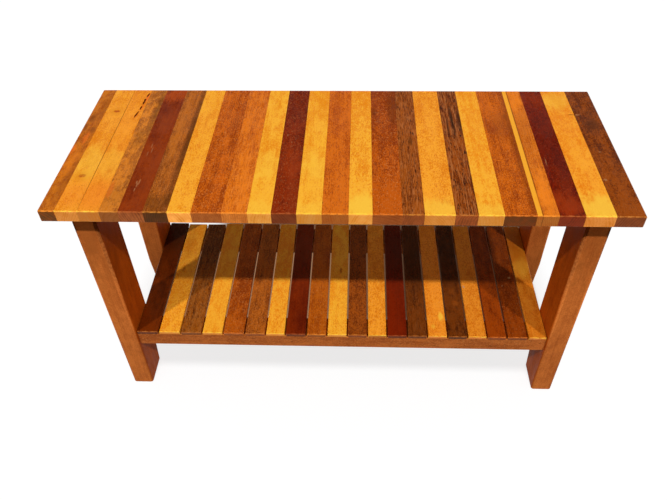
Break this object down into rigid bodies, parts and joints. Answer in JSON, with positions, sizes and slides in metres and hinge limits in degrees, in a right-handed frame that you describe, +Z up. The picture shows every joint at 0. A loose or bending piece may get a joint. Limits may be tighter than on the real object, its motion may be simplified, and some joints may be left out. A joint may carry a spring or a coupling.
{
  "type": "shoe bench",
  "caption": "Low wooden bench of mixed timber strips, with a solid seat panel on tapered legs and an open slatted shelf below for shoes.",
  "frame": {"origin": "on the floor, under the middle of the seat panel", "axes": "+X along the bench to the right, +Y from the front to the back, +Z up"},
  "size_m": [0.874, 0.34, 0.46],
  "materials": {
    "honey_timber": "clear glossy varnish on yellow timber",
    "amber_timber": "clear glossy varnish on orange timber",
    "russet_timber": "clear glossy varnish on red-brown timber",
    "oxblood_timber": "clear glossy varnish on dark red timber",
    "umber_timber": "clear glossy varnish on dark brown timber",
    "olive_timber": "clear glossy varnish on grey-brown timber",
    "chestnut_timber": "satin varnish on plain red-brown timber",
    "screw_steel": "plain steel countersunk screw"
  },
  "bodies": {
    "root": {"seat_board_01": "amber_timber", "seat_board_02": "honey_timber", "seat_board_03": "honey_timber", "seat_board_04": "olive_timber", "seat_board_05": "oxblood_timber", "seat_board_06": "olive_timber", "seat_board_07": "honey_timber", "seat_board_08": "russet_timber", "seat_board_09": "amber_timber", "seat_board_10": "honey_timber", "seat_board_11": "oxblood_timber", "seat_board_12": "honey_timber", "seat_board_13": "amber_timber", "seat_board_14": "honey_timber", "seat_board_15": "russet_timber", "seat_board_16": "olive_timber", "seat_board_17": "honey_timber", "seat_board_18": "umber_timber", "seat_board_19": "honey_timber", "seat_board_20": "russet_timber", "seat_board_21": "amber_timber", "seat_board_22": "oxblood_timber", "seat_board_23": "honey_timber", "seat_board_24": "umber_timber", "shelf_slat_01": "umber_timber", "shelf_slat_02": "honey_timber", "shelf_slat_03": "umber_timber", "shelf_slat_04": "honey_timber", "shelf_slat_05": "russet_timber", "shelf_slat_06": "olive_timber", "shelf_slat_07": "honey_timber", "shelf_slat_08": "oxblood_timber", "shelf_slat_09": "amber_timber", "shelf_slat_10": "honey_timber", "shelf_slat_11": "olive_timber", "shelf_slat_12": "honey_timber", "shelf_slat_13": "oxblood_timber", "shelf_slat_14": "umber_timber", "shelf_slat_15": "honey_timber", "shelf_slat_16": "umber_timber", "shelf_slat_17": "honey_timber", "shelf_slat_18": "russet_timber", "shelf_slat_19": "russet_timber", "shelf_slat_20": "honey_timber", "leg_front_left": "chestnut_timber", "leg_front_right": "chestnut_timber", "leg_back_left": "chestnut_timber", "leg_back_right": "chestnut_timber", "shelf_rail_front": "chestnut_timber", "shelf_rail_back": "chestnut_timber", "seat_rail_front": "chestnut_timber", "seat_rail_back": "chestnut_timber", "end_rail_left": "chestnut_timber", "end_rail_right": "chestnut_timber", "seat_screw_front_1": "screw_steel", "seat_screw_front_2": "screw_steel", "seat_screw_front_3": "screw_steel", "seat_screw_back_1": "screw_steel", "seat_screw_back_2": "screw_steel", "seat_screw_back_3": "screw_steel"}
  },
  "joints": []
}
